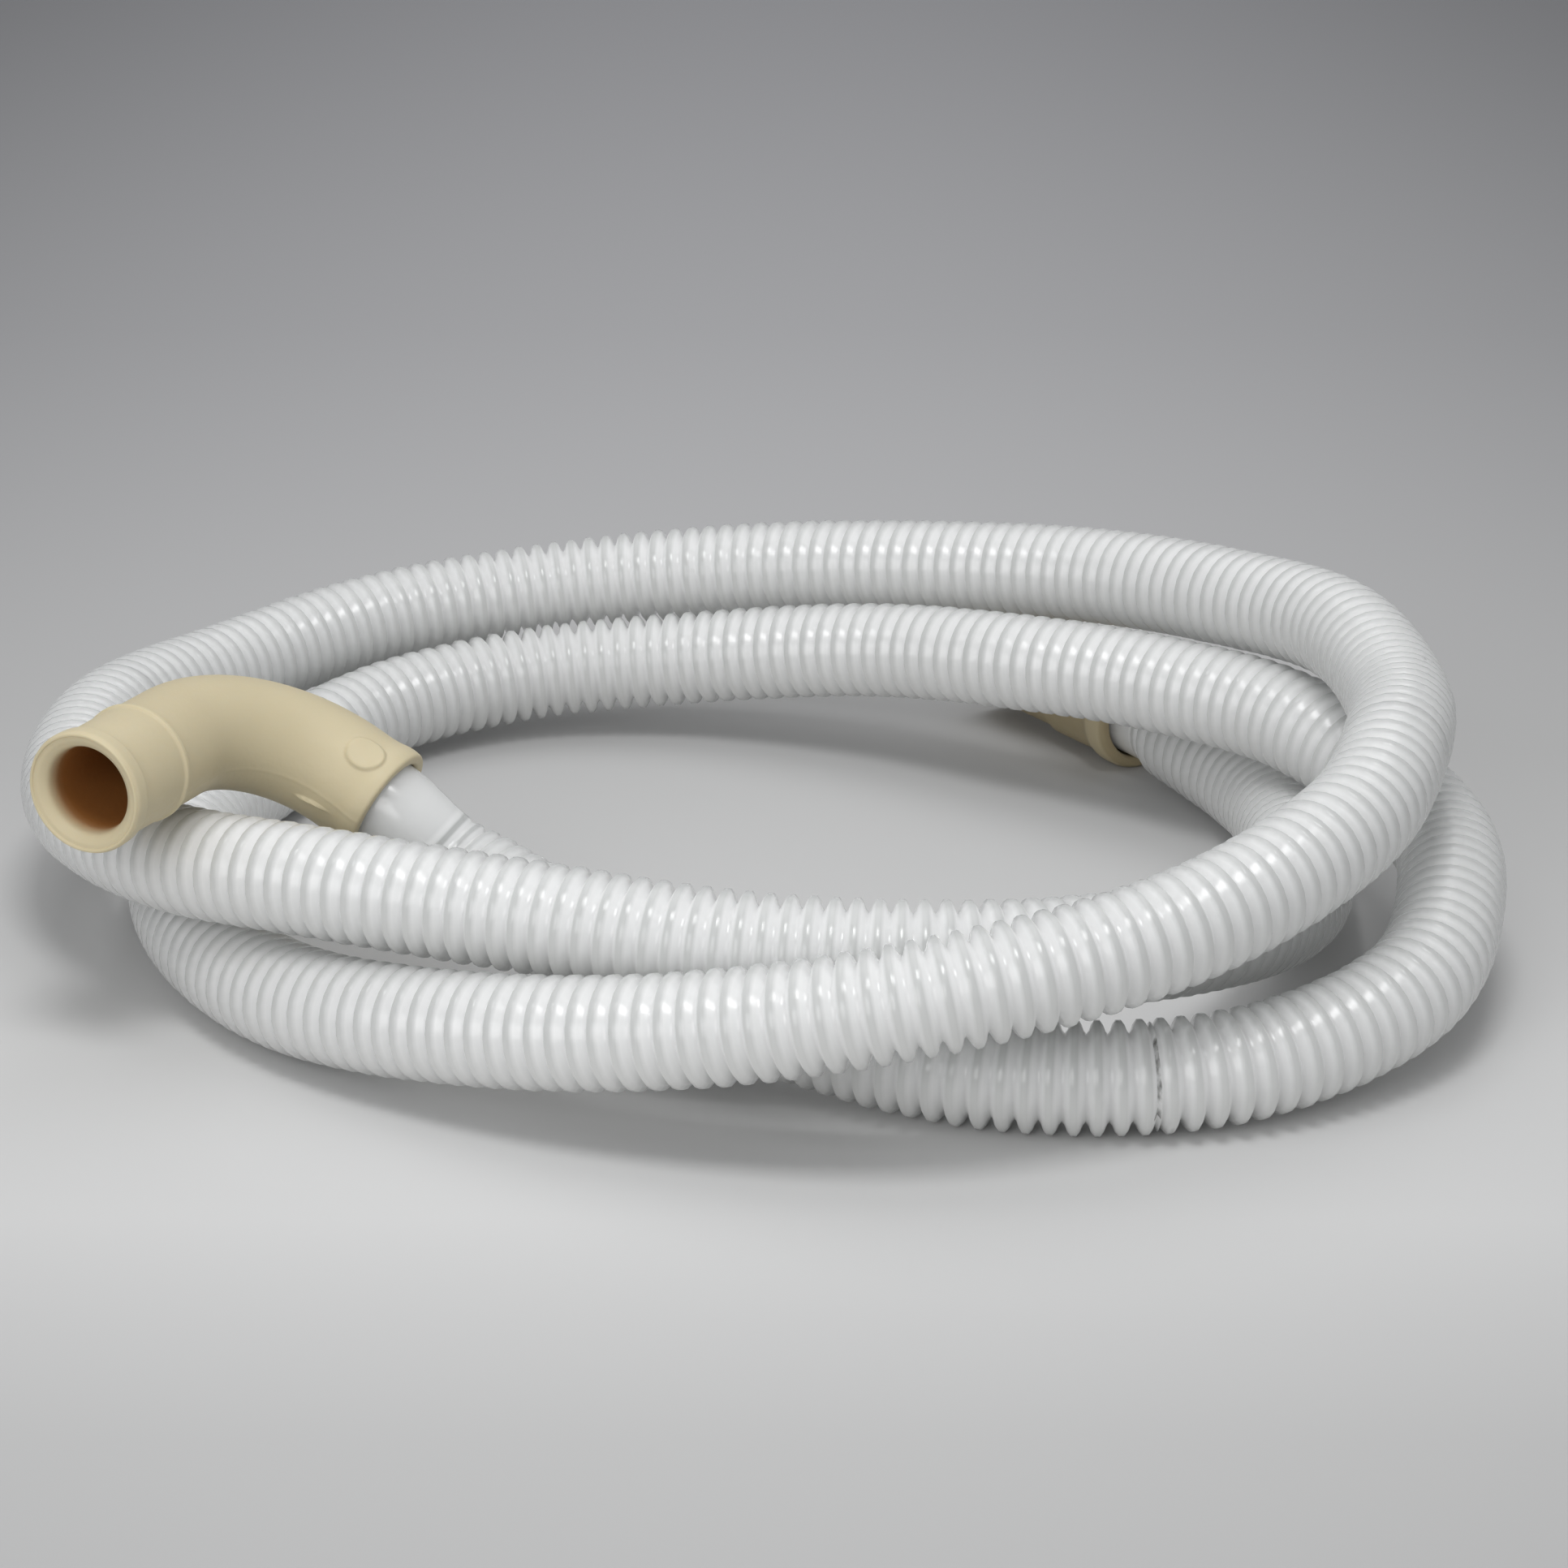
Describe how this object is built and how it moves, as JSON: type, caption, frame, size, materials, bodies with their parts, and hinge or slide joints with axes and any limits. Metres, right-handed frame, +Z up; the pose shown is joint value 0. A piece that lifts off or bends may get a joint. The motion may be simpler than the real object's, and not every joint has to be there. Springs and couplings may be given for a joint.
{
  "type": "dishwasher drain hose",
  "caption": "Corrugated plastic drain hose lying in a loose coil, with a moulded rubber elbow on one end and a stepped straight rubber connector on the other.",
  "frame": {"origin": "middle of the coil's footprint, on the floor that the hose lies on", "axes": "+Z up, +X along the coil's longer side with the elbow at -X, -Y the side the picture was taken from"},
  "size_m": [0.3081, 0.285, 0.0685],
  "materials": {
    "hose_plastic": "milky translucent polyethylene, smooth",
    "elbow_rubber": "cream moulded rubber, satin",
    "connector_rubber": "tan moulded rubber, satin"
  },
  "bodies": {
    "root": {"hose": "hose_plastic", "elbow": "elbow_rubber", "connector": "connector_rubber"}
  },
  "joints": []
}
